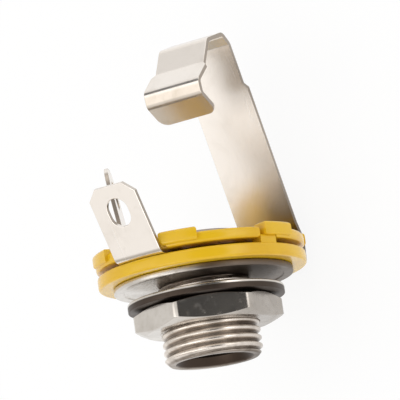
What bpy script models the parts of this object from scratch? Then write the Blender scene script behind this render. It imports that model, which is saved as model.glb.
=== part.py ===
"""Quarter inch mono phone jack, open type, for a round panel hole.

Run it with blender --background --python part.py, or from Blender's text editor. Lengths are in metres.
Each piece is modelled round an upright axis, +Z towards the back of the jack and +Y towards the leaf spring, and
an empty lays that axis along world +Y, with the leaf spring underneath. The origin is on the axis, in the front
face of the front plate, which is the face that bears on the panel.
"""

import math

import bmesh
import bpy
from mathutils import Matrix, Vector

OBJECT_NAME = "quarter_inch_phone_jack"
ROUND_STEPS = 48
BEND_STEPS = 4
CORNER_STEPS = 5
FILL_SCALE = 1000
MERGE_DISTANCE = 0.000001
SMOOTH_ANGLE = math.radians(30)

# Clearances
SEAT_GAP = 0.00003
THREAD_GAP = 0.00008
SLIP_GAP = 0.0001
FLEX_GAP = 0.0003

# Bushing
THREAD_RADIUS = 0.0047625
BARREL_LENGTH = 0.0075
NOSE_CHAMFER = 0.00045
MOUTH_RADIUS = 0.0038
MOUTH_DEPTH = 0.0009
BORE_RADIUS = 0.00325
TAIL_RADIUS = 0.0040
SWAGE_RADIUS = 0.0044
SWAGE_LENGTH = 0.0004
SWAGE_ROUNDING = 0.00015
SWAGE_FLARE = 0.0003

# Front plate
PLATE_RADIUS = 0.0087
PLATE_THICKNESS = 0.0006
PLATE_EDGE = 0.00012
LAND_RADIUS = 0.0078
RELIEF_DEPTH = 0.0001

# Plastic discs, with the key on the front one and the blocks on the rear one
DISC_RADIUS = 0.0101
DISC_EDGE = 0.00025
FRONT_DISC_THICKNESS = 0.00125
REAR_DISC_THICKNESS = 0.00105
HUB_RADIUS = 0.0050
PLATE_PLAY = 0.00002
RIM_WIDTH = 0.0014
RIM_INSET = 0.00008
KEY_TURN = math.radians(-13.5)
KEY_SPREAD = math.radians(11)
KEY_HEIGHT = 0.00085
KEY_CLEARANCE = 0.00006
BLOCK_COUNT = 6
BLOCK_TURN = math.radians(-6)
BLOCK_OVERHANG = 0.0003
BLOCK_HEIGHT = 0.0005
BLOCK_SPREAD = math.radians(21)
NOTCH_FLOOR = 0.0091
NOTCH_CLEARANCE = 0.0002

# Tip contact's sheet, its ring and its solder lug
SHEET_THICKNESS = 0.0004
BEND_RADIUS = 0.0006
TIP_RING_RADIUS = 0.0072
TIP_LUG_WIDTH = 0.0054
TIP_LUG_ROOT = 0.0101
TIP_LUG_LENGTH = 0.0075
TIP_LUG_TILT = math.radians(27)
TIP_LUG_CHAMFER = 0.0011
EYE_WIDTH = 0.0023
EYE_LENGTH = 0.0029
EYE_FROM_END = 0.0028

# Leaf spring: each bend's reach from the axis and its height over the sheet
LEAF_WIDTH = 0.0066
FOOT_REACH = 0.01315
FOOT_LAND = 0.0001
KNEE_REACH = 0.01325
KNEE_HEIGHT = 0.0025
HEEL_REACH = 0.0124
HEEL_HEIGHT = 0.0041
SHOULDER_REACH = 0.00595
SHOULDER_HEIGHT = 0.0216
CREST_REACH = 0.00495
CREST_HEIGHT = 0.0225
BROW_REACH = 0.0024
BROW_HEIGHT = 0.0217
VALLEY_REACH = 0.00125
VALLEY_HEIGHT = 0.01925
CONTACT_REACH = -0.00065
CONTACT_HEIGHT = 0.0174
CHIN_REACH = -0.00045
CHIN_HEIGHT = 0.0161
END_REACH = 0.0018
END_HEIGHT = 0.0145
END_CORNER = 0.0010
NECK_WIDTH = 0.0058
NECK_DROP = 0.0041
NECK_TAPER = 0.0005

# Back of the stack
BACKING_RADIUS = 0.0061
BACKING_THICKNESS = 0.0003
GROUND_RING_RADIUS = 0.0054
GROUND_THICKNESS = 0.0004
GROUND_LUG_WIDTH = 0.0050
GROUND_LUG_ROOT = 0.0067
GROUND_LUG_LENGTH = 0.00875
GROUND_LUG_TILT = math.radians(7)
GROUND_LUG_CORNER = 0.0024
GROUND_LUG_TURN = math.radians(119)

# Washer and nut
WASHER_RADIUS = 0.0076
WASHER_THICKNESS = 0.0008
WASHER_STANDOFF = 0.0011
WASHER_EDGE = 0.00012
NUT_ACROSS_FLATS = 0.0127
NUT_THICKNESS = 0.00238
NUT_CORNER_DROP = 0.0005
NUT_FACE_INSET = 0.0002
NUT_BORE_CHAMFER = 0.0004
NUT_TURN = math.radians(39)

# Heights along the axis, from the front plate's front face
FRONT_DISC_LOW = PLATE_THICKNESS + SEAT_GAP
FRONT_DISC_HIGH = FRONT_DISC_LOW + FRONT_DISC_THICKNESS
SHEET_LEVEL = FRONT_DISC_HIGH + PLATE_PLAY + SHEET_THICKNESS / 2
HUB_TOP = SHEET_LEVEL + SHEET_THICKNESS / 2 + PLATE_PLAY
REAR_DISC_LOW = HUB_TOP + SEAT_GAP
REAR_DISC_HIGH = REAR_DISC_LOW + REAR_DISC_THICKNESS
BACKING_LOW = REAR_DISC_HIGH + SEAT_GAP
BACKING_HIGH = BACKING_LOW + BACKING_THICKNESS
GROUND_LEVEL = BACKING_HIGH + SEAT_GAP + GROUND_THICKNESS / 2
SWAGE_LOW = GROUND_LEVEL + GROUND_THICKNESS / 2 + SEAT_GAP
TAIL_END = SWAGE_LOW + SWAGE_LENGTH
WASHER_LOW = -WASHER_STANDOFF - WASHER_THICKNESS
NUT_LOW = WASHER_LOW - SEAT_GAP - NUT_THICKNESS

# Reaches from the axis
TAIL_HOLE = TAIL_RADIUS + SLIP_GAP
THREAD_HOLE = THREAD_RADIUS + THREAD_GAP
LEAF_START = FOOT_REACH - BEND_RADIUS - FOOT_LAND
FOOT_END = LEAF_START - FLEX_GAP


def clear_scene():
    for obj in list(bpy.data.objects):
        bpy.data.objects.remove(obj)


def new_collection(name):
    collection = bpy.data.collections.new(name)
    bpy.context.scene.collection.children.link(collection)
    return collection


def new_material(name, colour, roughness, metallic):
    material = bpy.data.materials.new(name)
    material.use_nodes = True
    shader = material.node_tree.nodes["Principled BSDF"]
    shader.inputs["Base Color"].default_value = (*colour, 1)
    shader.inputs["Roughness"].default_value = roughness
    shader.inputs["Metallic"].default_value = metallic
    material.diffuse_color = (*colour, 1)
    return material


class Bench:
    """Where the pieces are put: their collection, the cutters' one, and the empty that lays the axis down."""

    def __init__(self):
        self.parts = new_collection(OBJECT_NAME)
        self.cutters = new_collection(OBJECT_NAME + "_cutters")
        self.axis = bpy.data.objects.new("jack_axis", None)
        self.axis.rotation_euler = (-math.pi / 2, 0, 0)
        self.parts.objects.link(self.axis)

    def part(self, name, mesh):
        obj = bpy.data.objects.new(name, mesh)
        self.parts.objects.link(obj)
        obj.parent = self.axis
        return obj

    def cutter(self, name, mesh):
        obj = bpy.data.objects.new(name, mesh)
        self.cutters.objects.link(obj)
        obj.parent = self.axis
        obj.hide_render = True
        obj.display_type = "WIRE"
        return obj


def revolve(obj):
    screw = obj.modifiers.new("revolve", "SCREW")
    screw.axis = "Z"
    screw.angle = math.tau
    screw.steps = ROUND_STEPS
    screw.render_steps = ROUND_STEPS
    screw.use_merge_vertices = True
    screw.merge_threshold = MERGE_DISTANCE


def boolean(obj, operand, operation):
    modifier = obj.modifiers.new(operand.name, "BOOLEAN")
    modifier.operation = operation
    modifier.object = operand
    modifier.solver = "EXACT"


def shape_and_shade(obj):
    """Applies the modifiers, and shades round faces smooth between sharp edges."""
    bpy.context.view_layer.update()
    evaluated = obj.evaluated_get(bpy.context.evaluated_depsgraph_get())
    mesh = bpy.data.meshes.new_from_object(evaluated)
    mesh.name = obj.name
    mesh.shade_smooth()
    mesh.set_sharp_from_angle(angle=SMOOTH_ANGLE)
    obj.modifiers.clear()
    obj.data = mesh
    return obj


def profile_mesh(name, profile):
    """A closed loop of (radius, height), which runs down the outer side and up the inner side."""
    mesh = bpy.data.meshes.new(name)
    points = [(radius, 0, height) for radius, height in profile]
    edges = [(i, (i + 1) % len(points)) for i in range(len(points))]
    mesh.from_pydata(points, edges, [])
    return mesh


def ring_profile(inner, outer, low, high, edge):
    """Section of a flat ring whose outer corners are broken by a small chamfer."""
    return [
        (inner, high),
        (outer - edge, high),
        (outer, high - edge),
        (outer, low + edge),
        (outer - edge, low),
        (inner, low),
    ]


def arc(centre, radius, start, stop, steps):
    """Points along an arc, with both of its ends."""
    turns = [start + (stop - start) * i / steps for i in range(steps + 1)]
    return [(centre[0] + radius * math.cos(turn), centre[1] + radius * math.sin(turn)) for turn in turns]


def circle(radius):
    return arc((0, 0), radius, 0, math.tau, ROUND_STEPS)[:-1]


def turned_points(points, turn):
    cos, sin = math.cos(turn), math.sin(turn)
    return [(x * cos - y * sin, x * sin + y * cos) for x, y in points]


def rounded_end(half_width, length, corner):
    """The end of a strip along +Y, from its right side round to its left."""
    right = arc((half_width - corner, length - corner), corner, 0, math.pi / 2, CORNER_STEPS)
    left = arc((corner - half_width, length - corner), corner, math.pi / 2, math.pi, CORNER_STEPS)
    return right + left


def chamfered_end(half_width, length, chamfer):
    """The end of a strip along +Y with its two corners cut off."""
    return [
        (half_width, length - chamfer),
        (half_width - chamfer, length),
        (chamfer - half_width, length),
        (-half_width, length - chamfer),
    ]


def eye(middle):
    """The slotted hole of a solder lug, centred at a distance along the strip."""
    half = EYE_WIDTH / 2
    straight = (EYE_LENGTH - EYE_WIDTH) / 2
    far = arc((0, middle + straight), half, 0, math.pi, 2 * CORNER_STEPS)
    near = arc((0, middle - straight), half, math.pi, math.tau, 2 * CORNER_STEPS)
    return far + near


def disc_with_tabs(radius, tabs):
    """Outline of a disc with strips on it. A tab is (its turn from +Y, its half width, the points of its end)."""
    outline = []
    for i, (turn, half_width, end) in enumerate(tabs):
        outline += turned_points(end, turn)
        next_turn, next_half, _ = tabs[(i + 1) % len(tabs)]
        leave = turn + math.asin(half_width / radius)
        arrive = next_turn - math.asin(next_half / radius)
        if arrive <= leave:
            arrive += math.tau
        steps = math.ceil(ROUND_STEPS * (arrive - leave) / math.tau)
        outline += arc((0, 0), radius, math.pi / 2 + leave, math.pi / 2 + arrive, steps)
    return outline


def plate_mesh(name, outlines, thickness, level=0):
    """A flat plate with its middle at a level. The first outline is its edge, and the others are holes.

    It is filled at FILL_SCALE times its size, because Blender's fill merges points that lie very close.
    """
    curve = bpy.data.curves.new(name, "CURVE")
    curve.dimensions = "2D"
    curve.fill_mode = "BOTH"
    curve.extrude = FILL_SCALE * thickness / 2
    for outline in outlines:
        spline = curve.splines.new("POLY")
        spline.points.add(len(outline) - 1)
        for point, (x, y) in zip(spline.points, outline):
            point.co = (FILL_SCALE * x, FILL_SCALE * y, 0, 1)
        spline.use_cyclic_u = True
    flat = bpy.data.objects.new(name, curve)
    bpy.context.scene.collection.objects.link(flat)
    bpy.context.view_layer.update()
    mesh = bpy.data.meshes.new_from_object(flat.evaluated_get(bpy.context.evaluated_depsgraph_get()))
    bpy.data.objects.remove(flat)
    mesh.transform(Matrix.Translation((0, 0, level)) @ Matrix.Scale(1 / FILL_SCALE, 4))
    body = bmesh.new()
    body.from_mesh(mesh)
    bmesh.ops.remove_doubles(body, verts=body.verts, dist=MERGE_DISTANCE)
    bmesh.ops.recalc_face_normals(body, faces=body.faces)
    body.to_mesh(mesh)
    body.free()
    return mesh


class BentLine:
    """A line through corner points (reach, height) that is rounded at every corner between its two ends."""

    def __init__(self, corners, radius):
        self.runs = []
        self.bends = []
        self.length = 0
        points = [Vector(corner) for corner in corners]
        start = points[0]
        for before, corner, after in zip(points, points[1:], points[2:]):
            inward = (corner - before).normalized()
            outward = (after - corner).normalized()
            turn = -inward.angle_signed(outward)
            setback = radius * math.tan(abs(turn) / 2)
            bend_start = corner - setback * inward
            self.add_run(start, inward, (bend_start - start).length, 0)
            self.bends.append(self.length + radius * abs(turn) / 2)
            self.add_run(bend_start, inward, radius * abs(turn), turn)
            start = corner + setback * outward
        last = points[-1] - start
        self.add_run(start, last.normalized(), last.length, 0)

    def add_run(self, start, heading, length, turn):
        self.runs.append((self.length, length, start, heading, turn))
        self.length += length

    def place(self, distance, offset):
        """The point at a distance along the line, moved to its left by the offset."""
        reached = [run for run in self.runs if run[0] <= distance]
        first, length, start, heading, turn = reached[-1] if reached else self.runs[0]
        along = distance - first
        left = Vector((-heading.y, heading.x))
        if turn == 0:
            return start + along * heading + offset * left
        radius = math.copysign(length / abs(turn), turn)
        spoke = Matrix.Rotation(along / radius, 2) @ left
        return start + radius * left - (radius - offset) * spoke

    def cuts(self):
        """The distances at which a sheet needs an edge across it to follow the bends."""
        bent = [run for run in self.runs if run[4]]
        return [first + length * i / BEND_STEPS for first, length, *_ in bent for i in range(BEND_STEPS + 1)]


def fold(mesh, line, start):
    """Bends a flat plate so that its point at y = start + d comes to the distance d along the line."""
    body = bmesh.new()
    body.from_mesh(mesh)
    for distance in line.cuts():
        bmesh.ops.bisect_plane(
            body,
            geom=body.verts[:] + body.edges[:] + body.faces[:],
            dist=MERGE_DISTANCE,
            plane_co=(0, start + distance, 0),
            plane_no=(0, 1, 0),
        )
    for vert in body.verts:
        placed = line.place(vert.co.y - start, vert.co.z)
        vert.co = (vert.co.x, placed.x, placed.y)
    body.to_mesh(mesh)
    body.free()


def wedge(turn, half_spread, depth, margin):
    """Outline of a cut into a disc's rim, which leaves a margin at both sides of what fits in it."""
    inner, outer = DISC_RADIUS - RIM_INSET - depth, 2 * DISC_RADIUS
    near, far = half_spread + margin / inner, half_spread + margin / DISC_RADIUS
    return [
        (inner * math.cos(turn - near), inner * math.sin(turn - near)),
        (outer * math.cos(turn - far), outer * math.sin(turn - far)),
        (outer * math.cos(turn + far), outer * math.sin(turn + far)),
        (inner * math.cos(turn + near), inner * math.sin(turn + near)),
    ]


def rim_blocks(name, turns, spread, inner, outer, low, high):
    """Blocks that follow the rim of a plastic disc, each centred on one of the turns from +X."""
    body = bmesh.new()
    steps = math.ceil(ROUND_STEPS * spread / math.tau)
    for turn in turns:
        outline = arc((0, 0), outer, turn - spread / 2, turn + spread / 2, steps)
        outline += arc((0, 0), inner, turn + spread / 2, turn - spread / 2, steps)
        block = plate_mesh(name, [outline], high - low, (low + high) / 2)
        body.from_mesh(block)
        bpy.data.meshes.remove(block)
    mesh = bpy.data.meshes.new(name)
    body.to_mesh(mesh)
    body.free()
    return mesh


def add_bushing(bench):
    """The turned barrel: thread outside, the plug's bore inside, and the tail that is swaged over the stack."""
    nose = -BARREL_LENGTH
    profile = [
        (BORE_RADIUS + SWAGE_FLARE, TAIL_END),
        (SWAGE_RADIUS - SWAGE_ROUNDING, TAIL_END),
        (SWAGE_RADIUS, TAIL_END - SWAGE_ROUNDING),
        (SWAGE_RADIUS, SWAGE_LOW),
        (TAIL_RADIUS, SWAGE_LOW),
        (TAIL_RADIUS, RELIEF_DEPTH - SEAT_GAP),
        (THREAD_RADIUS, RELIEF_DEPTH - SEAT_GAP),
        (THREAD_RADIUS, nose + NOSE_CHAMFER),
        (THREAD_RADIUS - NOSE_CHAMFER, nose),
        (MOUTH_RADIUS, nose),
        (BORE_RADIUS, nose + MOUTH_DEPTH),
        (BORE_RADIUS, TAIL_END - SWAGE_FLARE),
    ]
    bushing = bench.part("bushing", profile_mesh("bushing", profile))
    revolve(bushing)
    return shape_and_shade(bushing)


def add_front_plate(bench):
    """The plate that bears on the panel with the land round its rim, inside which it is slightly relieved."""
    profile = [
        *ring_profile(TAIL_HOLE, PLATE_RADIUS, 0, PLATE_THICKNESS, PLATE_EDGE)[:-1],
        (LAND_RADIUS, 0),
        (LAND_RADIUS, RELIEF_DEPTH),
        (TAIL_HOLE, RELIEF_DEPTH),
    ]
    plate = bench.part("front_plate", profile_mesh("front_plate", profile))
    revolve(plate)
    return shape_and_shade(plate)


def add_front_insulator(bench):
    """The front disc, its hub, which centres the tip contact, and its key, which meets the rear disc."""
    low, high, edge = FRONT_DISC_LOW, FRONT_DISC_HIGH, DISC_EDGE
    profile = [
        (TAIL_HOLE, HUB_TOP),
        (HUB_RADIUS, HUB_TOP),
        (HUB_RADIUS, high),
        (DISC_RADIUS - edge, high),
        (DISC_RADIUS, high - edge),
        (DISC_RADIUS, low + edge),
        (DISC_RADIUS - edge, low),
        (TAIL_HOLE, low),
    ]
    disc = bench.part("front_insulator", profile_mesh("front_insulator", profile))
    revolve(disc)
    outer = DISC_RADIUS - RIM_INSET
    inner = outer - RIM_WIDTH
    key_low, key_high = (low + high) / 2, high + KEY_HEIGHT
    key = rim_blocks("front_insulator_key", [KEY_TURN], KEY_SPREAD, inner, outer, key_low, key_high)
    boolean(disc, bench.cutter("front_insulator_key", key), "UNION")
    return shape_and_shade(disc)


def add_rear_insulator(bench):
    """The rear disc, with blocks round its rim and a notch for the tip's solder lug."""
    low, high = REAR_DISC_LOW, REAR_DISC_HIGH
    middle = (low + high) / 2
    profile = ring_profile(TAIL_HOLE, DISC_RADIUS, low, high, DISC_EDGE)
    disc = bench.part("rear_insulator", profile_mesh("rear_insulator", profile))
    revolve(disc)
    turns = [BLOCK_TURN + math.tau * i / BLOCK_COUNT for i in range(BLOCK_COUNT)]
    inner, outer = DISC_RADIUS - RIM_WIDTH, DISC_RADIUS + BLOCK_OVERHANG
    block_low, block_high = low + DISC_EDGE, high + BLOCK_HEIGHT
    blocks = rim_blocks("rear_insulator_blocks", turns, BLOCK_SPREAD, inner, outer, block_low, block_high)
    boolean(disc, bench.cutter("rear_insulator_blocks", blocks), "UNION")
    half_width = TIP_LUG_WIDTH / 2 + NOTCH_CLEARANCE
    past_rim = 2 * DISC_RADIUS - NOTCH_FLOOR
    corners = [
        (half_width, -NOTCH_FLOOR),
        (-half_width, -NOTCH_FLOOR),
        (-half_width, -past_rim),
        (half_width, -past_rim),
    ]
    notch = plate_mesh("rear_insulator_notch", [corners], 2 * (REAR_DISC_THICKNESS + BLOCK_HEIGHT), middle)
    boolean(disc, bench.cutter("rear_insulator_notch", notch), "DIFFERENCE")
    outline = wedge(KEY_TURN, KEY_SPREAD / 2, RIM_WIDTH + KEY_CLEARANCE, KEY_CLEARANCE)
    key_top = FRONT_DISC_HIGH + KEY_HEIGHT + KEY_CLEARANCE
    keyway = plate_mesh("rear_insulator_keyway", [outline], 2 * (key_top - low), low)
    boolean(disc, bench.cutter("rear_insulator_keyway", keyway), "DIFFERENCE")
    return shape_and_shade(disc)


def add_tip_terminal(bench):
    """The tip contact's ring between the discs, with its solder lug and the foot that the leaf goes on from."""
    lug_end = (
        -TIP_LUG_ROOT - TIP_LUG_LENGTH * math.sin(TIP_LUG_TILT),
        SHEET_LEVEL + TIP_LUG_LENGTH * math.cos(TIP_LUG_TILT),
    )
    line = BentLine([lug_end, (-TIP_LUG_ROOT, SHEET_LEVEL), (FOOT_END, SHEET_LEVEL)], BEND_RADIUS)
    flat_end = line.length - FOOT_END
    half_leaf, half_lug = LEAF_WIDTH / 2, TIP_LUG_WIDTH / 2
    foot = [(half_leaf, FOOT_END), (-half_leaf, FOOT_END)]
    lug = chamfered_end(half_lug, flat_end, TIP_LUG_CHAMFER)
    outline = disc_with_tabs(TIP_RING_RADIUS, [(0, half_leaf, foot), (math.pi, half_lug, lug)])
    hole = circle(HUB_RADIUS + SLIP_GAP)
    lug_eye = turned_points(eye(flat_end - EYE_FROM_END), math.pi)
    mesh = plate_mesh("tip_terminal", [outline, hole, lug_eye], SHEET_THICKNESS)
    fold(mesh, line, -flat_end)
    return shape_and_shade(bench.part("tip_terminal", mesh))


def add_tip_spring(bench):
    """The leaf spring, with its origin in the line across its root that it bends about."""
    bends = [
        (FOOT_REACH, 0),
        (KNEE_REACH, KNEE_HEIGHT),
        (HEEL_REACH, HEEL_HEIGHT),
        (SHOULDER_REACH, SHOULDER_HEIGHT),
        (CREST_REACH, CREST_HEIGHT),
        (BROW_REACH, BROW_HEIGHT),
        (VALLEY_REACH, VALLEY_HEIGHT),
        (CONTACT_REACH, CONTACT_HEIGHT),
        (CHIN_REACH, CHIN_HEIGHT),
    ]
    line = BentLine([(LEAF_START, 0), *bends, (END_REACH, END_HEIGHT)], BEND_RADIUS)
    neck_low = line.bends[bends.index((SHOULDER_REACH, SHOULDER_HEIGHT))] - NECK_DROP
    neck_high = line.bends[bends.index((VALLEY_REACH, VALLEY_HEIGHT))]
    half_leaf, half_neck = LEAF_WIDTH / 2, NECK_WIDTH / 2
    side = [
        (half_leaf, 0),
        (half_leaf, neck_low - NECK_TAPER),
        (half_neck, neck_low),
        (half_neck, neck_high),
        (half_leaf, neck_high + NECK_TAPER),
    ]
    other_side = [(-x, y) for x, y in reversed(side)]
    outline = side + rounded_end(half_leaf, line.length, END_CORNER) + other_side
    mesh = plate_mesh("tip_spring", [outline], SHEET_THICKNESS)
    fold(mesh, line, 0)
    pivot_reach = LEAF_START - FLEX_GAP / 2
    mesh.transform(Matrix.Translation((0, -pivot_reach, 0)))
    spring = bench.part("tip_spring", mesh)
    spring.location = (0, pivot_reach, SHEET_LEVEL)
    return shape_and_shade(spring)


def add_backing_washer(bench):
    profile = ring_profile(TAIL_HOLE, BACKING_RADIUS, BACKING_LOW, BACKING_HIGH, PLATE_EDGE)
    washer = bench.part("backing_washer", profile_mesh("backing_washer", profile))
    revolve(washer)
    return shape_and_shade(washer)


def add_ground_terminal(bench):
    """The sleeve contact's ring under the swaged tail, and its solder lug."""
    lug_end = (
        GROUND_LUG_ROOT + GROUND_LUG_LENGTH * math.sin(GROUND_LUG_TILT),
        GROUND_LUG_LENGTH * math.cos(GROUND_LUG_TILT),
    )
    line = BentLine([(-GROUND_RING_RADIUS, 0), (GROUND_LUG_ROOT, 0), lug_end], BEND_RADIUS)
    flat_end = line.length - GROUND_RING_RADIUS
    half_lug = GROUND_LUG_WIDTH / 2
    lug = rounded_end(half_lug, flat_end, GROUND_LUG_CORNER)
    outline = disc_with_tabs(GROUND_RING_RADIUS, [(0, half_lug, lug)])
    outlines = [outline, circle(TAIL_HOLE), eye(flat_end - EYE_FROM_END)]
    mesh = plate_mesh("ground_terminal", outlines, GROUND_THICKNESS)
    fold(mesh, line, -GROUND_RING_RADIUS)
    terminal = bench.part("ground_terminal", mesh)
    terminal.location = (0, 0, GROUND_LEVEL)
    terminal.rotation_euler = (0, 0, GROUND_LUG_TURN)
    return shape_and_shade(terminal)


def add_flat_washer(bench):
    profile = ring_profile(THREAD_HOLE, WASHER_RADIUS, 0, WASHER_THICKNESS, WASHER_EDGE)
    washer = bench.part("flat_washer", profile_mesh("flat_washer", profile))
    washer.location = (0, 0, WASHER_LOW)
    revolve(washer)
    return shape_and_shade(washer)


def add_hex_nut(bench):
    """A turned blank with coned faces and a chamfered hole, cut to a hexagon."""
    face = NUT_ACROSS_FLATS / 2 - NUT_FACE_INSET
    corner = NUT_ACROSS_FLATS / math.sqrt(3)
    blank = corner + NUT_FACE_INSET
    drop = NUT_CORNER_DROP * (blank - face) / (corner - face)
    profile = [
        (THREAD_HOLE + NUT_BORE_CHAMFER, NUT_THICKNESS),
        (face, NUT_THICKNESS),
        (blank, NUT_THICKNESS - drop),
        (blank, drop),
        (face, 0),
        (THREAD_HOLE + NUT_BORE_CHAMFER, 0),
        (THREAD_HOLE, NUT_BORE_CHAMFER),
        (THREAD_HOLE, NUT_THICKNESS - NUT_BORE_CHAMFER),
    ]
    nut = bench.part("hex_nut", profile_mesh("hex_nut", profile))
    revolve(nut)
    hexagon = plate_mesh("hex_nut_flats", [arc((0, 0), corner, 0, math.tau, 6)[:-1]], 2 * NUT_THICKNESS)
    flats = bench.cutter("hex_nut_flats", hexagon)
    for piece in (nut, flats):
        piece.location = (0, 0, NUT_LOW)
        piece.rotation_euler = (0, 0, NUT_TURN)
    flats.location.z += NUT_THICKNESS / 2
    boolean(nut, flats, "INTERSECT")
    return shape_and_shade(nut)


def main():
    clear_scene()
    bench = Bench()
    nickel = new_material("bright_nickel", (0.62, 0.59, 0.55), 0.22, 1)
    satin = new_material("satin_nickel", (0.78, 0.74, 0.70), 0.34, 1)
    yellow = new_material("yellow_plastic", (0.85, 0.58, 0.03), 0.35, 0)
    makers = [
        (add_bushing, nickel),
        (add_front_plate, nickel),
        (add_front_insulator, yellow),
        (add_tip_terminal, satin),
        (add_tip_spring, satin),
        (add_rear_insulator, yellow),
        (add_backing_washer, nickel),
        (add_ground_terminal, satin),
        (add_flat_washer, nickel),
        (add_hex_nut, nickel),
    ]
    for make, material in makers:
        own = material.copy()
        piece = make(bench)
        own.name = piece.name + "_" + material.name
        piece.data.materials.clear()
        piece.data.materials.append(own)


if __name__ == "__main__":
    main()
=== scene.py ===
"""Looks of an open quarter inch phone jack: threaded barrel, nut, washer, yellow discs, leaf spring and lugs.

It is laid out as a Blender add-on and is run as a script. Each piece is modelled round an upright axis, +Z towards
the back of the jack and +Y towards the leaf spring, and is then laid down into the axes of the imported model, whose
+Y runs towards the back and whose -Z points at the leaf. Lengths are in metres.
"""

import math

import bmesh
import bpy
from bpy.props import FloatProperty, FloatVectorProperty, PointerProperty
from bpy.types import Operator, Panel, PropertyGroup
from mathutils import Matrix, Vector


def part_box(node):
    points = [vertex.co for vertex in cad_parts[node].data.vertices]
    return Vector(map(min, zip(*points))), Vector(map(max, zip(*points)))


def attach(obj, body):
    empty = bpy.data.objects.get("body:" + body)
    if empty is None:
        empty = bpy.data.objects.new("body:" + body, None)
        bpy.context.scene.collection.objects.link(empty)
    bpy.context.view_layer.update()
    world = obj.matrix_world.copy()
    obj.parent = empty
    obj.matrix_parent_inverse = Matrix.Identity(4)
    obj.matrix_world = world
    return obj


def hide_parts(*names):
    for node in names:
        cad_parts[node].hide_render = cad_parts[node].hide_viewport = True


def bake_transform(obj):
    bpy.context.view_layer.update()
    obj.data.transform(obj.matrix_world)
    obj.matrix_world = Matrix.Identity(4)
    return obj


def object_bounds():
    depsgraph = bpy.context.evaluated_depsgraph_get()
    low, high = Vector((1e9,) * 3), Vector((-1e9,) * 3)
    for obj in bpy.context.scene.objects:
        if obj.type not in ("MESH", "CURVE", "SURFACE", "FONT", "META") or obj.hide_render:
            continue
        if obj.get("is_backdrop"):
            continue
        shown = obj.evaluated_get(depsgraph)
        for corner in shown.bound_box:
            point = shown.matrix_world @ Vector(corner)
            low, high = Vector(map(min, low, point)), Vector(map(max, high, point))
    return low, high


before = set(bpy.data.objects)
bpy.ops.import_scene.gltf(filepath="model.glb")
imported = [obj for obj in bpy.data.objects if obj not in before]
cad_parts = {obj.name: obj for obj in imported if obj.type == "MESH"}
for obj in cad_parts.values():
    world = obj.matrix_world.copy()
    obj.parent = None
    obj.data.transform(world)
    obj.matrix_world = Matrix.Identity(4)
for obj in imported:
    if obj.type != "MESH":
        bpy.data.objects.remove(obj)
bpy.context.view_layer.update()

bl_info = {
    "name": "Phone jack looks",
    "version": (1, 0, 0),
    "blender": (4, 5, 0),
    "location": "3D View > Sidebar > Phone jack",
    "description": "Detailed pieces and finishes for an open quarter inch phone jack",
    "category": "Object",
}

ROUND_STEPS = 128
BEND_STEPS = 8
CORNER_STEPS = 8
ROUNDING_STEPS = 4
FILL_SCALE = 1000
MERGE_DISTANCE = 0.0000001
SMOOTH_ANGLE = math.radians(32)
SHEET_SMOOTH_ANGLE = math.radians(12)
BEND_MARGIN = 0.00008
LAID_DOWN = Matrix.Rotation(-math.pi / 2, 4, "X")
CLOSE_RUN = 0.00001
PHASE_STEPS = 16
NUT_FLAT_STEPS = 10
NUT_CORNER_STEPS = 6

# Painted shade on the plating, a darker colour towards one side with a cloudy edge: colour, share, direction, where
# along it it starts and is full, and drift, in millimetres
SHADED_SIDE = (0.7, 0, -0.7)
NO_PAINTED_SHADE = ("grime_and_painted_shade", 0, SHADED_SIDE, 0, 1, 0)
NUT_SHADE = ("grime_and_painted_shade", 0.4, SHADED_SIDE, 0, 6, 4)
PLATE_SHADE = ("grime_and_painted_shade", 0.90, SHADED_SIDE, -4, 2, 4)

# Places of painted shade on the contacts: at the leaf's foot, under its hook, on the arm and the neck, and on the
# ring clamped between the discs. Each is where all its slopes meet, and a slope is a direction and where along it,
# in millimetres, the painted shade starts and is full
FOOT_SHADE = [((0, -1, -1), 1, 9)]
HOOK_SHADE = [((0, 1, 0), 12, 13), ((0, 1, 0), 19.4, 19), ((0, 0, 1), -3, -2.5)]
ARM_SHADE = [((1, -0.35, 0), -4.2, -0.8), ((0, 1, 0), 12.5, 5), ((0, 0, -1), 8, 10)]
NECK_SHADE = [((1, 0, 0), -1.5, 2.4), ((0, 1, 0), 16.5, 19.5), ((0, 1, 0), 23.5, 21.5), ((0, 0, -1), 4, 5)]
# The painted shade on the ring clamped between the discs lies below a height and within a reach from the axis
CLAMPED_HEIGHT = [((0, 1, 0), 3.0, 2.6)]
CLAMPED_REACH = (9, 8)


def span(node, axis=1):
    """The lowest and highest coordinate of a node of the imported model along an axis."""
    low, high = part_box(node)
    return low[axis], high[axis]


def reach(node):
    """Half of a round node's width across the axis."""
    low, high = span(node, 0)
    return (high - low) / 2


# Heights along the jack's axis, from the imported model
NOSE, TAIL_END = span("bushing")
PLATE_LOW, PLATE_HIGH = span("front_plate")
FRONT_DISC_LOW = span("front_insulator")[0]
REAR_DISC_LOW, BLOCK_TOP = span("rear_insulator")
BACKING_LOW, BACKING_HIGH = span("backing_washer")
WASHER_LOW, WASHER_HIGH = span("flat_washer")
NUT_LOW, NUT_HIGH = span("hex_nut")

# Reaches from the axis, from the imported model
THREAD_RADIUS = reach("bushing")
PLATE_RADIUS = reach("front_plate")
DISC_RADIUS = reach("front_insulator")
BACKING_RADIUS = reach("backing_washer")
WASHER_RADIUS = reach("flat_washer")

# The washer's painted shade starts a little in front of its back, darkens the rest of the washer, and leaves a
# bright band of plain plating there
WASHER_BACK = -1000 * WASHER_HIGH
WASHER_SHADE = ("bore", 0.98, (0, -1, 0), WASHER_BACK + 0.24, WASHER_BACK + 0.34, 0.05)

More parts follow.
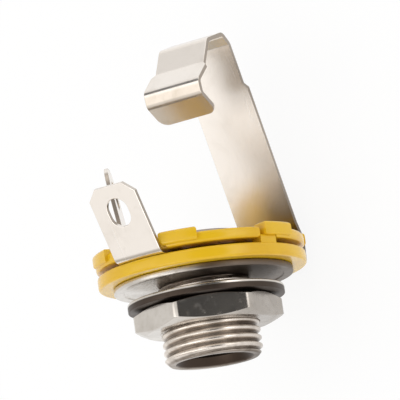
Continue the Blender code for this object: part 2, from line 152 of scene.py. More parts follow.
# Barrel
TAIL_RADIUS = 0.0040
SWAGE_RADIUS = 0.0044
SWAGE_LENGTH = 0.0004
SWAGE_FLARE = 0.0003
BORE_RADIUS = 0.00325
MOUTH_RADIUS = 0.0038
MOUTH_DEPTH = 0.0009
NOSE_CHAMFER = 0.00045
SHOULDER = 0.00007
TAIL_HOLE = 0.0041
THREAD_GAP = 0.00008

# Thread forms, in shares of the pitch: half of the crest, a flank, and how softly they meet
BARREL_THREAD = (5 / 32, 9 / 32, 0.3)
NUT_THREAD = (1 / 8, 5 / 16, 0.1)

# Front plate's face
LAND_RADIUS = 0.0078
RELIEF_DEPTH = 0.0001

# Discs
FRONT_DISC_THICKNESS = 0.00125
REAR_DISC_THICKNESS = 0.00105
HUB_RADIUS = 0.0050
HUB_TOP = 0.00232
RIM_WIDTH = 0.0014
RIM_INSET = 0.00008
KEY_TURN = math.radians(-13.5)
KEY_SPREAD = math.radians(11)
KEY_HEIGHT = 0.00085
KEY_CLEARANCE = 0.00006
KEY_SINK = 0.0004
BLOCK_COUNT = 6
BLOCK_TURN = math.radians(-6)
BLOCK_OVERHANG = 0.0003
BLOCK_SPREAD = math.radians(21)
NOTCH_FLOOR = 0.0091
NOTCH_WIDTH = 0.0058

# Tip contact: one stamping with a ring, a solder lug and the leaf, given by its bends (reach, height)
SHEET_LEVEL = 0.0021
TIP_RING_RADIUS = 0.0072
TIP_RING_HOLE = 0.0051
TIP_LUG_WIDTH = 0.0054
TIP_LUG_ROOT = 0.0101
TIP_LUG_LENGTH = 0.0075
TIP_LUG_TILT = math.radians(27)
TIP_LUG_CHAMFER = 0.0011
LEAF_WIDTH = 0.0066
FOOT_REACH = 0.01315
LEAF_BENDS = [
    (0.01325, 0.0025),
    (0.0124, 0.0041),
    (0.00595, 0.0216),
    (0.00495, 0.0225),
    (0.0024, 0.0217),
    (0.00125, 0.01925),
    (-0.00065, 0.0174),
    (-0.00045, 0.0161),
]
LEAF_END = (0.0018, 0.0145)
LEAF_SHOULDER = 2
LEAF_VALLEY = 5
END_CORNER = 0.0010
NECK_WIDTH = 0.0058
NECK_DROP = 0.0041
NECK_TAPER = 0.0005

# Ground terminal
GROUND_LEVEL = 0.00396
GROUND_RING_RADIUS = 0.0054
GROUND_LUG_WIDTH = 0.0050
GROUND_LUG_ROOT = 0.0067
GROUND_LUG_LENGTH = 0.00875
GROUND_LUG_TILT = math.radians(7)
GROUND_LUG_CORNER = 0.0024
GROUND_LUG_TURN = math.radians(119)

# Solder eyes of both lugs
EYE_WIDTH = 0.0023
EYE_LENGTH = 0.0029
EYE_FROM_END = 0.0028

# Nut
NUT_ACROSS_FLATS = 0.0127
NUT_CORNER_DROP = 0.0005
NUT_FACE_INSET = 0.0002
NUT_TURN = math.radians(39)

# View, fitted to the photograph
VIEW_RIGHT = Vector((0.8021, -0.1404, -0.5805))
VIEW_UP = Vector((0.2198, 0.9732, 0.0683))
VIEW_TARGET = Vector((0.00071, 0.00818, -0.00033))
SEEN_FAR = 10

# Floor and lamp
FLOOR_HALF = 1.5
LAMP_PLACE = (-0.05, -0.28, 0.42)
LAMP_SIZE = 0.22

# Patches of the room: where they lie, the cosines at which they start and are full, and how much they add to the
# room's plain level or take off it
ROOM_LEVEL = 0.90
ROOM_WHITE = (1.0, 0.99, 0.98)
FRONT_TINT = (1.0, 0.95, 0.87)
BRIGHT_PATCHES = {
    "left": ((-0.56, -0.30, 0.77), 0.86, 0.995, 0.15),
    "glint": ((-0.52, 0.06, 0.85), 0.93, 0.985, 0.70),
    "rear": ((-0.10, 0.88, 0.46), 0.90, 0.98, 0.70),
    "right": ((0.93, 0.18, 0.32), 0.90, 0.975, 1.20),
    "overhead": ((0.0, -0.35, 0.94), 0.80, 0.97, 0.35),
}
DARK_PATCHES = {
    "front": ((-0.47, -0.88, 0.0), 0.72, 0.97, 0.52),
    "upper right": ((0.69, 0.16, 0.70), 0.89, 0.965, 0.93),
    "strip": ((-0.52, 0.54, 0.66), 0.94, 0.98, 0.90),
}


class JackSizes(PropertyGroup):
    thread_pitch: FloatProperty(
        name="Thread pitch", default=0.00079375, unit="LENGTH",
        description="Distance from one turn of the thread to the next",
    )
    thread_depth: FloatProperty(
        name="Thread depth", default=0.0004, unit="LENGTH",
        description="How far the thread's root lies under its crest",
    )
    thread_play: FloatProperty(
        name="Thread play", default=0.00005, unit="LENGTH",
        description="Gap between the nut's thread and the barrel's",
    )
    turned_edge: FloatProperty(
        name="Turned edge", default=0.00012, unit="LENGTH",
        description="Rounding of the edges of turned and stamped rings",
    )
    moulded_edge: FloatProperty(
        name="Moulded edge", default=0.00025, unit="LENGTH",
        description="Rounding of the edges of the plastic discs",
    )
    key_edge: FloatProperty(
        name="Key edge", default=0.0003, unit="LENGTH",
        description="Rounding of the edges of the front disc's key and hub",
    )
    block_edge: FloatProperty(
        name="Block edge", default=0.0003, unit="LENGTH",
        description="Rounding of the edges of the rear disc's blocks",
    )
    sheet_thickness: FloatProperty(
        name="Sheet thickness", default=0.0004, unit="LENGTH",
        description="Thickness of the contacts' sheet metal",
    )
    sheet_edge: FloatProperty(
        name="Sheet edge", default=0.00005, unit="LENGTH",
        description="Rounding of the stamped edges of the contacts",
    )
    bend_radius: FloatProperty(
        name="Bend radius", default=0.0006, unit="LENGTH",
        description="Radius of the contacts' bends at the middle of the sheet",
    )
    nut_corner: FloatProperty(
        name="Nut corner", default=0.0008, unit="LENGTH",
        description="Rounding of the nut's six corners",
    )


class JackColours(PropertyGroup):
    bright: FloatVectorProperty(
        name="Bright nickel", default=(0.66, 0.62, 0.57), subtype="COLOR",
        description="Colour of the plated barrel, plate, washers and nut",
    )
    bright_shade: FloatVectorProperty(
        name="Bright nickel shade", default=(0.36, 0.32, 0.27), subtype="COLOR",
        description="Colour of the plating where it is dull or lies in a groove",
    )
    crest: FloatVectorProperty(
        name="Thread crests", default=(0.88, 0.80, 0.72), subtype="COLOR",
        description="Colour of the thread's crests, where the plating is rubbed bright",
    )
    # Grime and painted shade: real grime in brown clouds on the thread, and painted shade in the thread's roots, on
    # the shaded side of the barrel, plate and nut, on the ring clamped between the discs and on the leaf's arm and
    # neck
    grime_and_painted_shade: FloatVectorProperty(
        name="Grime", default=(0.115, 0.084, 0.062), subtype="COLOR",
        description="Colour of the dull brown film in the thread's roots and on the plated rings",
    )
    # Painted shade: this dark colour stands in for the shade on the bore's wall and on the washer below its bright
    # band
    bore: FloatVectorProperty(
        name="Bore", default=(0.060, 0.043, 0.033), subtype="COLOR",
        description="Colour of the dull wall of the bore",
    )
    sheared: FloatVectorProperty(
        name="Sheared edge", default=(0.38, 0.33, 0.28), subtype="COLOR",
        description="Colour of the bare sheared edges of the contacts",
    )
    satin: FloatVectorProperty(
        name="Satin nickel", default=(0.90, 0.845, 0.785), subtype="COLOR",
        description="Colour of the plated sheet metal of the contacts",
    )
    # Partly real light tarnish in clouds, spots and grain, and partly painted shade at the leaf's foot and under its
    # hook
    satin_shade: FloatVectorProperty(
        name="Satin nickel shade", default=(0.52, 0.45, 0.37), subtype="COLOR",
        description="Colour of the sheet metal where it is slightly tarnished",
    )
    plastic: FloatVectorProperty(
        name="Yellow plastic", default=(0.775, 0.482, 0.017), subtype="COLOR",
        description="Colour of the moulded discs",
    )
    plastic_shade: FloatVectorProperty(
        name="Yellow plastic shade", default=(0.67, 0.362, 0.007), subtype="COLOR",
        description="Deeper colour that streaks the moulded discs",
    )


class JackStage(PropertyGroup):
    floor_colour: FloatVectorProperty(
        name="Floor", default=(1.0, 1.0, 1.0), subtype="COLOR",
        description="Colour of the floor",
    )
    floor_gap: FloatProperty(
        name="Floor gap", default=0.001, unit="LENGTH",
        description="Gap under the object, which leaves room for the leaf's heel when the leaf bends",
    )
    shadow_keep: FloatProperty(
        name="Shadow", default=0.12, min=0, max=1, subtype="FACTOR",
        description="Share of the floor's own shading that the camera sees, over plain white",
    )
    key_power: FloatProperty(
        name="Key lamp", default=0.24, min=0, unit="POWER",
        description="Power of the large soft lamp at the left",
    )
    lens: FloatProperty(
        name="Lens", default=600,
        description="Focal length of the long lens, in millimetres",
    )
    width: FloatProperty(
        name="Field width", default=0.0385, unit="LENGTH",
        description="Width of the view at the object",
    )


class Field:
    """A socket that can be used in expressions with numbers and other fields."""

    def __init__(self, finish, socket):
        self.finish = finish
        self.socket = socket

    def __add__(self, other):
        return self.finish.maths("ADD", self, other)

    def __sub__(self, other):
        return self.finish.maths("SUBTRACT", self, other)

    def __rsub__(self, other):
        return self.finish.maths("SUBTRACT", other, self)

    def __mul__(self, other):
        return self.finish.maths("MULTIPLY", self, other)

    def __pow__(self, other):
        return self.finish.maths("POWER", self, other)

    def clamped(self):
        return self.finish.maths("ADD", self, 0, clamp=True)

    def wave(self):
        return self.finish.maths("SINE", self)

    def rise(self, low, high):
        """Goes smoothly from 0 at low to 1 at high, which may lie below low."""
        settings = {"interpolation_type": "SMOOTHSTEP"}
        return self.finish.node("ShaderNodeMapRange", settings, {"Value": self, "From Min": low, "From Max": high})


class Finish:
    """The nodes of a material or of the world."""

    def __init__(self, owner):
        owner.use_nodes = True
        self.owner = owner
        self.tree = owner.node_tree
        self.tree.nodes.clear()

    def node(self, kind, settings=None, sockets=None, output=0):
        """Adds a node, sets its settings, then its sockets by name or number, and gives one output back."""
        node = self.tree.nodes.new(kind)
        for name, value in (settings or {}).items():
            setattr(node, name, value)
        for name, value in (sockets or {}).items():
            if isinstance(value, Field):
                self.tree.links.new(value.socket, node.inputs[name])
            else:
                node.inputs[name].default_value = value
        return Field(self, node.outputs[output]) if node.outputs else None

    def maths(self, operation, first, second=0, clamp=False):
        settings = {"operation": operation, "use_clamp": clamp}
        return self.node("ShaderNodeMath", settings, {0: first, 1: second})

    def mixed(self, factor, first, second):
        """Mixes two colours, each a triple or a field."""
        colours = [value if isinstance(value, Field) else (*value, 1) for value in (first, second)]
        settings = {"data_type": "RGBA"}
        return self.node("ShaderNodeMix", settings, {0: factor, 6: colours[0], 7: colours[1]}, output=2)

    def place(self, stretch=(1, 1, 1), turn=0):
        """Object coordinates, turned about the jack's axis and then stretched."""
        where = self.node("ShaderNodeTexCoord", output="Object")
        turned = self.node("ShaderNodeMapping", None, {"Vector": where, "Rotation": (0, turn, 0)})
        return self.node("ShaderNodeVectorMath", {"operation": "MULTIPLY"}, {0: turned, 1: stretch})

    def noise(self, where, scale, detail=3, roughness=0.5, distortion=0):
        sockets = {"Vector": where, "Scale": scale, "Detail": detail}
        sockets |= {"Roughness": roughness, "Distortion": distortion}
        return self.node("ShaderNodeTexNoise", {"noise_dimensions": "3D"}, sockets)

    def dot(self, first, second):
        settings = {"operation": "DOT_PRODUCT"}
        return self.node("ShaderNodeVectorMath", settings, {0: first, 1: second}, output="Value")

    def along(self, direction):
        """Distance from the origin along a direction, in millimetres."""
        return self.dot(self.place((1000, 1000, 1000)), direction)

    def from_axis(self):
        """Distance from the jack's axis, in millimetres."""
        across, up = self.along((1, 0, 0)), self.along((0, 0, 1))
        return (across * across + up * up) ** 0.5

    def where_all(self, slopes):
        """The place where all slopes meet. A slope is a direction and where along it it starts and is full."""
        share = 1
        for direction, start, full in slopes:
            share = self.along(direction).rise(start, full) * share
        return share

    def sideways(self, turn):
        """How far a face of a strip that is turned about the axis points to either of the strip's sides."""
        normal = self.node("ShaderNodeTexCoord", output="Normal")
        return self.maths("ABSOLUTE", self.dot(normal, (math.cos(turn), 0, math.sin(turn))))

    def bump(self, height, strength, distance):
        return self.node("ShaderNodeBump", None, {"Height": height, "Strength": strength, "Distance": distance})

    def surface(self, sockets):
        shader = self.node("ShaderNodeBsdfPrincipled", None, sockets)
        self.node("ShaderNodeOutputMaterial", None, {"Surface": shader})


def new_finish(name):
    """The nodes of a new material, and the jack's colours."""
    return Finish(bpy.data.materials.new(name)), bpy.context.scene.jack_colours


def bright_nickel(name, grooves, shade_and_grime=NO_PAINTED_SHADE):
    """Bright nickel plate with turned grooves, and painted shade: a darker colour over the side that its numbers
    give.
    """
    finish, colours = new_finish(name)
    where = finish.place()
    clouds = finish.noise(where, 420, 4, 0.55)
    stains = finish.noise(where, 1500, 3, 0.6).rise(0.52, 0.72)
    grain = finish.noise(where, 9000, 2, 0.6)
    shade_colour, share, direction, start, end, drift = shade_and_grime
    # Painted shade: the plating takes the darker colour towards the given side
    painted_shade_share = (finish.along(direction) + clouds * drift).rise(start, end) * share
    rings = finish.from_axis()
    scatter = finish.noise(where, 2600, 2)
    fine = (rings * 41 + scatter * 5).wave()
    coarse = (rings * 17 + scatter * 2).wave()
    turned = fine * 0.5 + coarse * 0.5
    shade = (clouds.rise(0.38, 0.68) * 0.25 + stains * 0.12 + turned * (0.1 * grooves)).clamped()
    height = grain * 0.35 + turned * grooves
    plated = finish.mixed(shade, colours.bright, colours.bright_shade)
    finish.surface({
        "Base Color": finish.mixed(painted_shade_share, plated, getattr(colours, shade_colour)),
        "Metallic": 1.0,
        "Roughness": (clouds * 0.14 + stains * 0.08 + painted_shade_share * 0.22 + (0.10 + 0.05 * grooves)).clamped(),
        "Normal": finish.bump(height, 0.35, 0.000012),
    })
    return finish.owner


def threaded_nickel(name):
    """The same plate on the barrel: bright crests, painted shade in the thread's roots, on its shaded side and on
    the bore's wall, and a little brown grime in clouds.
    """
    finish, colours = new_finish(name)
    sizes = bpy.context.scene.jack_sizes
    where = finish.place()
    clouds = finish.noise(where, 700, 4, 0.55)
    grain = finish.noise(where, 8000, 3, 0.6)
    crest = THREAD_RADIUS * 1000
    root = crest - sizes.thread_depth * 1000
    rings = finish.from_axis()
    # Painted shade in the thread's roots
    depth = 1 - rings.rise(root, crest - 0.08)
    # Painted shade on the bore's wall
    bore = 1 - rings.rise(MOUTH_RADIUS * 1000 - 0.12, MOUTH_RADIUS * 1000 + 0.02)
    worn = finish.mixed(clouds.rise(0.4, 0.7) * 0.4, colours.crest, colours.bright_shade)
    # Painted shade on the thread's shaded side
    aside = finish.along(SHADED_SIDE).rise(0, 4.5)
    # The roots' and the side's painted shade, with a little real grime in clouds
    shade_and_grime = (depth * 0.62 + clouds.rise(0.45, 0.75) * 0.15 + aside * 0.35).clamped()
    outside = finish.mixed(shade_and_grime, worn, colours.grime_and_painted_shade)
    finish.surface({
        "Base Color": finish.mixed(bore, outside, colours.bore),
        "Metallic": 1.0,
        "Roughness": (depth * 0.12 + clouds * 0.16 + 0.20).clamped(),
        "Normal": finish.bump(grain, 0.3, 0.00001),
    })
    return finish.owner


def satin_nickel(name, turn=0):
    """Plated sheet metal with rolled grain along the strip, faint stains and light tarnish, and with places of
    painted shade.
    """
    finish, colours = new_finish(name)
    grain = finish.noise(finish.place((1, 0.04, 0.04), turn), 14000, 3, 0.6)
    scratches = finish.noise(finish.place((1, 0.02, 0.02), turn), 5200, 2, 0.4).rise(0.70, 0.78)
    clouds = finish.noise(finish.place(), 260, 4, 0.55, 0.4)
    spots = finish.noise(finish.place(), 1400, 3, 0.6).rise(0.56, 0.76)
    # Painted shade at the leaf's foot and under its hook, mixed with real tarnish in clouds, spots and grain
    foot, hook = finish.where_all(FOOT_SHADE), finish.where_all(HOOK_SHADE)
    shade = (clouds.rise(0.46, 0.76) * 0.22 + spots * 0.10 + grain * 0.08 + foot + hook * 0.7).clamped()
    plated = finish.mixed(shade, colours.satin, colours.satin_shade)
    sheared = finish.sideways(turn).rise(0.62, 0.80)
    # Painted shade on the ring clamped between the discs, and on the arm and the neck
    clamped = finish.from_axis().rise(*CLAMPED_REACH) * finish.where_all(CLAMPED_HEIGHT)
    arm, neck = finish.where_all(ARM_SHADE), finish.where_all(NECK_SHADE)
    painted_shade = (clamped * 0.9 + arm * 0.75 + neck * 0.28).clamped()
    edged = finish.mixed(sheared, plated, colours.sheared)
    finish.surface({
        "Base Color": finish.mixed(painted_shade, edged, colours.grime_and_painted_shade),
        "Metallic": 1.0,
        "Roughness": (grain * 0.08 + clouds * 0.08 + scratches * 0.08 + 0.17).clamped(),
        "Normal": finish.bump(grain * 0.6 + scratches * 0.8, 0.2, 0.000008),
    })
    return finish.owner


def yellow_plastic(name):
    """Glossy moulded plastic, with soft flow streaks and a very fine mould texture."""
    finish, colours = new_finish(name)
    flow = finish.noise(finish.place(), 180, 4, 0.55, 1.2)
    texture = finish.noise(finish.place(), 5200, 3, 0.6)
    waves = finish.noise(finish.place(), 520, 2, 0.5)
    shade = (flow.rise(0.4, 0.75) * 0.45 + texture * 0.08).clamped()
    finish.surface({
        "Base Color": finish.mixed(shade, colours.plastic, colours.plastic_shade),
        "Metallic": 0.0,
        "Roughness": (flow * 0.08 + texture * 0.05 + 0.10).clamped(),
        "IOR": 1.5,
        "Specular IOR Level": 0.4,
        "Normal": finish.bump(texture * 0.3 + waves, 0.3, 0.00002),
    })
    return finish.owner


def rounded_loop(corners):
    """A closed loop of points with rounded corners. A corner is (x, y, rounding)."""
    loop = []
    for i, (x, y, rounding) in enumerate(corners):
        corner = Vector((x, y))
        if rounding == 0:
            loop.append(corner)
            continue
        before = (Vector(corners[i - 1][:2]) - corner).normalized()
        after = (Vector(corners[(i + 1) % len(corners)][:2]) - corner).normalized()
        half = before.angle(after) / 2
        middle = corner + rounding / math.sin(half) * (before + after).normalized()
        first = corner + rounding / math.tan(half) * before - middle
        sweep = first.angle_signed(corner + rounding / math.tan(half) * after - middle)
        for step in range(ROUNDING_STEPS + 1):
            loop.append(middle + Matrix.Rotation(-sweep * step / ROUNDING_STEPS, 2) @ first)
    return loop


def round_turns(steps=ROUND_STEPS):
    return [math.tau * i / steps for i in range(steps + 1)]


def column(turn, section):
    """The points of a section of (radius, height) at a turn about the axis."""
    return [(radius * math.cos(turn), radius * math.sin(turn), height) for radius, height in section]


def skin(body, columns):
    """Adds the faces between each column of points and the next."""
    rows = [[body.verts.new(point) for point in points] for points in columns]
    for here, there in zip(rows, rows[1:]):
        for corners in zip(here, there, there[1:], here[1:]):
            body.faces.new(corners)


def lathe(body, corners):
    """Adds a ring whose section has corners of (radius, height, rounding)."""
    section = rounded_loop(corners)
    section.append(section[0])
    skin(body, [column(turn, section) for turn in round_turns()])


def eased(value, ease):
    """Holds a value between 0 and 1, with a soft corner at both ends."""
    if value > 0.5:
        return 1 - eased(1 - value, ease)
    if value > ease:
        return value
    return max(value + ease, 0) ** 2 / (4 * ease)


def thread_rise(phase, crest_half, flank, ease):
    """Height of the thread's form, from 0 at its root to 1 at its crest, at a phase from 0 to 1."""
    return eased((crest_half + flank - abs(phase - 0.5)) / flank, ease)


def thread_columns(turns, low, high, pitch, radius_at):
    """Columns of a thread's surface between two heights, whose rows follow the helix."""
    first = math.floor(low / pitch) - 1
    last = math.ceil(high / pitch) + 1
    phases = [i / PHASE_STEPS for i in range(PHASE_STEPS)]
    columns = []
    for turn in turns:
        section = []
        for row in range(first, last + 1):
            for phase in phases:
                height = min(max(pitch * (row + phase + turn / math.tau), low), high)
                section.append((radius_at(height, (height / pitch - turn / math.tau) % 1), height))
        columns.append(column(turn, section))
    return columns


def new_object(name, data):
    """A new object in the scene."""
    made = bpy.data.objects.new(name, data)
    bpy.context.scene.collection.objects.link(made)
    return made


def evaluated_mesh(source):
    """The mesh that a helper object comes to. The object is removed again."""
    bpy.context.view_layer.update()
    mesh = bpy.data.meshes.new_from_object(source.evaluated_get(bpy.context.evaluated_depsgraph_get()))
    bpy.data.objects.remove(source)
    return mesh


def finished_mesh(name, body, smooth_angle):
    """Turns a worked body into a mesh, laid down into the frame's axes, with round faces smooth and flats flat."""
    bmesh.ops.remove_doubles(body, verts=body.verts, dist=MERGE_DISTANCE)
    bmesh.ops.dissolve_degenerate(body, edges=body.edges, dist=MERGE_DISTANCE)
    bmesh.ops.recalc_face_normals(body, faces=body.faces)
    mesh = bpy.data.meshes.new(name)
    body.to_mesh(mesh)
    body.free()
    mesh.transform(LAID_DOWN)
    mesh.shade_smooth()
    mesh.set_sharp_from_angle(angle=smooth_angle)
    rough = new_object(name, mesh)
    weighting = rough.modifiers.new("flat_faces", "WEIGHTED_NORMAL")
    weighting.keep_sharp = True
    finished = evaluated_mesh(rough)
    bpy.data.meshes.remove(mesh)
    finished.name = name
    return finished


def put_in_place(name, shape, material, nodes, body="root", smooth_angle=SMOOTH_ANGLE):
    """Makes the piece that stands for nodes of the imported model, and gives it its finish and its body."""
    piece = new_object(name, finished_mesh(name, shape, smooth_angle))
    piece.data.materials.append(material)
    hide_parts(*nodes)
    if body:
        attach(piece, body)
    return piece


def arc(centre, radius, start, stop, steps):
    turns = [start + (stop - start) * i / steps for i in range(steps + 1)]
    return [(centre[0] + radius * math.cos(turn), centre[1] + radius * math.sin(turn)) for turn in turns]


def circle(radius):
    return arc((0, 0), radius, 0, math.tau, ROUND_STEPS)[:-1]


def turned_points(points, turn):
    cos, sin = math.cos(turn), math.sin(turn)
    return [(x * cos - y * sin, x * sin + y * cos) for x, y in points]


def rounded_end(half_width, length, corner):
    """The end of a strip along +Y, from its right side round to its left."""
    right = arc((half_width - corner, length - corner), corner, 0, math.pi / 2, CORNER_STEPS)
    left = arc((corner - half_width, length - corner), corner, math.pi / 2, math.pi, CORNER_STEPS)
    return right + left


def chamfered_end(half_width, length, chamfer):
    """The end of a strip along +Y with its two corners cut off."""
    return [
        (half_width, length - chamfer),
        (half_width - chamfer, length),
        (chamfer - half_width, length),
        (-half_width, length - chamfer),
    ]


def lug_end(root, length, tilt, level=0):
    """Where the middle of a lug ends that goes up from a level at a reach, and leans outwards by a tilt."""
    return root + math.copysign(length * math.sin(tilt), root), level + length * math.cos(tilt)


def eye(middle):
    """The slotted hole of a solder lug, centred at a distance along the strip."""
    half = EYE_WIDTH / 2
    straight = (EYE_LENGTH - EYE_WIDTH) / 2
    far = arc((0, middle + straight), half, 0, math.pi, 2 * CORNER_STEPS)
    near = arc((0, middle - straight), half, math.pi, math.tau, 2 * CORNER_STEPS)
    return far + near


def disc_with_tabs(radius, tabs):
    """Outline of a disc with strips on it. A tab is (its turn from +Y, its half width, the points of its end)."""
    outline = []
    for i, (turn, half_width, end) in enumerate(tabs):
        outline += turned_points(end, turn)
        next_turn, next_half, _ = tabs[(i + 1) % len(tabs)]
        leave = turn + math.asin(half_width / radius)
        arrive = next_turn - math.asin(next_half / radius)
        if arrive <= leave:
            arrive += math.tau
        steps = math.ceil(ROUND_STEPS * (arrive - leave) / math.tau)
        outline += arc((0, 0), radius, math.pi / 2 + leave, math.pi / 2 + arrive, steps)
    return outline


def spread(outline):
    """Leaves out points of an outline that lie on the one before them."""
    kept = []
    for point in outline:
        if not kept or math.dist(point, kept[-1]) > CLOSE_RUN:
            kept.append(point)
    if math.dist(kept[0], kept[-1]) <= CLOSE_RUN:
        kept.pop()
    return kept


def stamping(body, outline, holes, thickness, rounding, level=0):
    """Adds a flat plate with rounded edges, its middle at a level. It is filled at FILL_SCALE times its size."""
    curve = bpy.data.curves.new("stamping", "CURVE")
    curve.dimensions = "2D"
    curve.fill_mode = "BOTH"
    curve.extrude = FILL_SCALE * (thickness / 2 - rounding)
    curve.bevel_depth = FILL_SCALE * rounding
    curve.bevel_resolution = 2
    curve.offset = -FILL_SCALE * rounding
    for points in (outline, *(hole[::-1] for hole in holes)):
        points = spread(points)
        spline = curve.splines.new("POLY")
        spline.points.add(len(points) - 1)
        for point, (x, y) in zip(spline.points, points):
            point.co = (FILL_SCALE * x, FILL_SCALE * y, 0, 1)
        spline.use_cyclic_u = True
    mesh = evaluated_mesh(new_object("stamping", curve))
    bpy.data.curves.remove(curve)
    mesh.transform(Matrix.Translation((0, 0, level)) @ Matrix.Scale(1 / FILL_SCALE, 4))
    body.from_mesh(mesh)
    bpy.data.meshes.remove(mesh)


class BentLine:
    """A line through corner points (reach, height) that is rounded at every corner between its two ends."""

    def __init__(self, corners, radius):
        self.runs = []
        self.bends = []
        self.length = 0
        points = [Vector(corner) for corner in corners]
        start = points[0]
        for before, corner, after in zip(points, points[1:], points[2:]):
            inward = (corner - before).normalized()
            outward = (after - corner).normalized()
            turn = -inward.angle_signed(outward)
            setback = radius * math.tan(abs(turn) / 2)
            bend_start = corner - setback * inward
            self.add_run(start, inward, (bend_start - start).length, 0)
            self.bends.append(self.length + radius * abs(turn) / 2)
            self.add_run(bend_start, inward, radius * abs(turn), turn)
            start = corner + setback * outward
        last = points[-1] - start
        self.add_run(start, last.normalized(), last.length, 0)

    def add_run(self, start, heading, length, turn):
        self.runs.append((self.length, length, start, heading, turn))
        self.length += length

    def place(self, distance, offset):
        """The point at a distance along the line, moved to its left by the offset."""
        reached = [run for run in self.runs if run[0] <= distance]
        first, length, start, heading, turn = reached[-1] if reached else self.runs[0]
        along = distance - first
        left = Vector((-heading.y, heading.x))
        if turn == 0:
            return start + along * heading + offset * left
        radius = math.copysign(length / abs(turn), turn)
        spoke = Matrix.Rotation(along / radius, 2) @ left
        return start + radius * left - (radius - offset) * spoke

    def cuts(self):
        """The distances at which a sheet needs an edge across it to follow the bends and stay flat beside them."""
        bent = [run for run in self.runs if run[4]]
        inside = [first + length * i / BEND_STEPS for first, length, *_ in bent for i in range(BEND_STEPS + 1)]
        before = [first - BEND_MARGIN for first, *_ in bent]
        after = [first + length + BEND_MARGIN for first, length, *_ in bent]
        return inside + before + after


def fold(body, line, start):
    """Bends a flat plate so that its point at y = start + d comes to the distance d along the line."""
    for distance in line.cuts():
        bmesh.ops.bisect_plane(
            body,
            geom=body.verts[:] + body.edges[:] + body.faces[:],
            dist=MERGE_DISTANCE,
            plane_co=(0, start + distance, 0),
            plane_no=(0, 1, 0),
        )
    for vert in body.verts:
        placed = line.place(vert.co.y - start, vert.co.z)
        vert.co = (vert.co.x, placed.x, placed.y)


def rim_block(body, turn, spread_angle, inner, outer, low, high, rounding):
    """Adds a block that follows the rim of a plastic disc."""
    outline = arc((0, 0), outer, turn - spread_angle / 2, turn + spread_angle / 2, CORNER_STEPS)
    outline += arc((0, 0), inner, turn + spread_angle / 2, turn - spread_angle / 2, CORNER_STEPS)
    stamping(body, outline, [], high - low, rounding, (low + high) / 2)


class JACK_OT_bushing(Operator):
    """Makes the barrel with its thread, its mouth and the tail that is rolled over the stack"""

    bl_idname = "jack.bushing"
    bl_label = "Barrel"

    def execute(self, context):
        sizes = context.scene.jack_sizes
        root = THREAD_RADIUS - sizes.thread_depth
        runout = THREAD_RADIUS - NOSE_CHAMFER
        high = SHOULDER

        def radius_at(height, phase):
            form = root + sizes.thread_depth * thread_rise(phase, *BARREL_THREAD)
            return min(form, runout + height - NOSE, runout + high - height)

        body = bmesh.new()
        skin(body, thread_columns(round_turns(), NOSE, high, sizes.thread_pitch, radius_at))
        swage_low = TAIL_END - SWAGE_LENGTH
        lip = sizes.turned_edge
        corners = [
            (runout, high, 0),
            (TAIL_RADIUS, high, 0),
            (TAIL_RADIUS, swage_low, 0),
            (SWAGE_RADIUS, swage_low, lip),
            (SWAGE_RADIUS, TAIL_END, 2 * lip),
            (BORE_RADIUS + SWAGE_FLARE, TAIL_END, lip),
            (BORE_RADIUS, TAIL_END - SWAGE_FLARE, lip),
            (BORE_RADIUS, NOSE + MOUTH_DEPTH, lip),
            (MOUTH_RADIUS, NOSE, lip / 2),
            (runout, NOSE, 0),
        ]
        section = rounded_loop(corners)
        skin(body, [column(turn, section) for turn in round_turns()])
        put_in_place("barrel", body, threaded_nickel("barrel_nickel"), ["bushing"])
        return {"FINISHED"}


class JACK_OT_front_plate(Operator):
    """Makes the round plate that bears on the panel"""

    bl_idname = "jack.front_plate"
    bl_label = "Front plate"

    def execute(self, context):
        edge = context.scene.jack_sizes.turned_edge
        body = bmesh.new()
        lathe(body, [
            (TAIL_HOLE, PLATE_HIGH, 0),
            (PLATE_RADIUS, PLATE_HIGH, edge),
            (PLATE_RADIUS, PLATE_LOW, edge),
            (LAND_RADIUS, PLATE_LOW, RELIEF_DEPTH / 2),
            (LAND_RADIUS - RELIEF_DEPTH, PLATE_LOW + RELIEF_DEPTH, 0),
            (TAIL_HOLE, PLATE_LOW + RELIEF_DEPTH, 0),
        ])
        # The plate's shaded side is painted darker
        finish = bright_nickel("plate_nickel", 1, PLATE_SHADE)
        put_in_place("panel_plate", body, finish, ["front_plate"])
        return {"FINISHED"}


